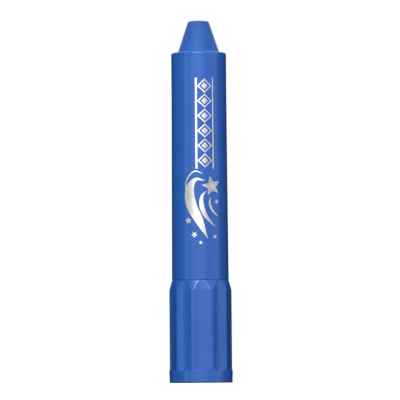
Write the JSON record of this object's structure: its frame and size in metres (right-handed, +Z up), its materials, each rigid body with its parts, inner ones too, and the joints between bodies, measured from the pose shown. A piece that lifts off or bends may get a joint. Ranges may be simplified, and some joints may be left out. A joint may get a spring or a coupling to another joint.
{
  "type": "twist-up crayon",
  "caption": "Twist-up wax crayon stick: smooth round barrel, fluted turning knob on a foot ring, and a blunt conical wax tip fed by a screw.",
  "frame": {"origin": "centre of the foot's underside, on the surface that the stick stands on", "axes": "+Z up along the stick towards the crayon's tip; -Y is the front, where the printed ornament is"},
  "size_m": [0.0182, 0.0182, 0.104],
  "materials": {
    "wax": "satin",
    "barrel_plastic": "satin",
    "knob_plastic": "satin",
    "inner_plastic": "satin",
    "screw_plastic": "satin",
    "ring_rubber": "matte",
    "foil": "satin"
  },
  "bodies": {
    "barrel": {"barrel": "barrel_plastic", "guide_sleeve": "inner_plastic", "friction_ring": "ring_rubber"},
    "knob": {"knob": "knob_plastic", "end_cap": "knob_plastic", "spindle": "screw_plastic"},
    "carriage": {"pusher": "inner_plastic", "crayon": "wax"}
  },
  "joints": [
    {"name": "knob_twist", "type": "hinge", "parent": "barrel", "child": "knob", "pos_m": [0, 0, 0], "axis": [0, 0, 1], "range_deg": [-612, 1440]},
    {"name": "crayon_feed", "type": "slide", "parent": "barrel", "child": "carriage", "axis": [0, 0, 1], "range_m": [-0.01021, 0.02401]}
  ],
  "couplings": [
    {"joint": "crayon_feed", "follows": "knob_twist", "m_per_rad": 0.00095493}
  ]
}
